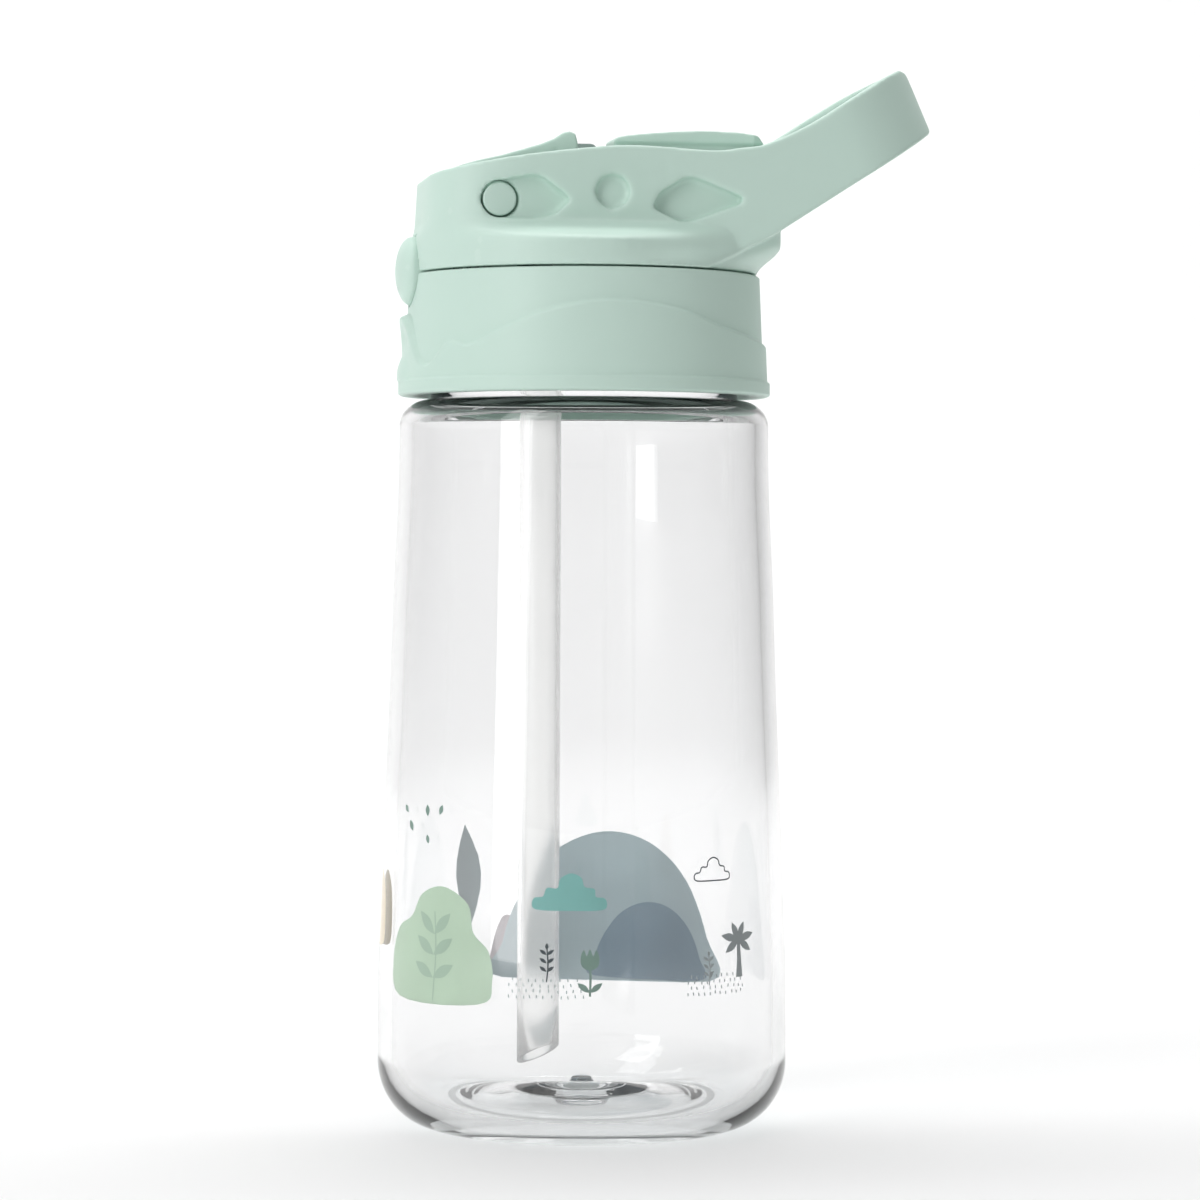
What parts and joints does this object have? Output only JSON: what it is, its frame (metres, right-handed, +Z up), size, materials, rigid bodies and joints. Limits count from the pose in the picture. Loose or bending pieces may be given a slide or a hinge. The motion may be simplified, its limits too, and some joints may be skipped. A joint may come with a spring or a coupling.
{
  "type": "kids water bottle",
  "caption": "Clear kids drinking bottle with a screw-on lid, a carry-handle loop, and a push button that frees a flip-up drinking spout fed by a straw.",
  "frame": {"origin": "on the bottle's axis, at the surface it stands on", "axes": "+Z up along the bottle's axis, +X towards the carry handle, -X towards the push button"},
  "size_m": [0.1002, 0.074, 0.1909],
  "materials": {
    "clear_plastic": "clear, glossy, with small printed pictures outside",
    "mint_plastic": "fine matte moulded",
    "inner_plastic": "plain moulded",
    "silicone": "soft satin",
    "milky_plastic": "translucent, milky",
    "spring_steel": "drawn wire"
  },
  "bodies": {
    "bottle": {"bottle_body": "clear_plastic"},
    "lid_seal": {"lid_gasket": "silicone"},
    "lid": {"screw_collar": "mint_plastic", "inner_deck": "inner_plastic", "lid_housing": "mint_plastic", "spout_shield": "mint_plastic", "straw_socket": "inner_plastic", "straw": "milky_plastic", "vent_valve": "silicone", "feed_tube": "silicone", "torsion_spring": "spring_steel"},
    "spout": {"spout_lever": "mint_plastic", "hinge_stub_left": "mint_plastic", "hinge_stub_right": "mint_plastic", "spout_nozzle": "inner_plastic", "mouthpiece": "silicone"},
    "button": {"push_button": "mint_plastic", "latch_hook": "inner_plastic", "button_spring": "spring_steel"}
  },
  "joints": [
    {"name": "lid_lift", "type": "slide", "parent": "bottle", "child": "lid_seal", "axis": [0, 0, 1], "range_m": [0, 0.14]},
    {"name": "lid_turn", "type": "hinge", "parent": "lid_seal", "child": "lid", "pos_m": [0, 0, 0.14], "axis": [0, 0, 1], "range_deg": [0, 270]},
    {"name": "spout_open", "type": "hinge", "parent": "lid", "child": "spout", "pos_m": [-0.0182, 0, 0.1657], "axis": [0, -1, 0], "range_deg": [0, 65], "deforming": ["feed_tube", "torsion_spring"]},
    {"name": "button_press", "type": "slide", "parent": "lid", "child": "button", "axis": [1, 0, 0], "range_m": [0, 0.0025], "stiffness_N_per_m": 400, "deforming": ["button_spring"]}
  ]
}
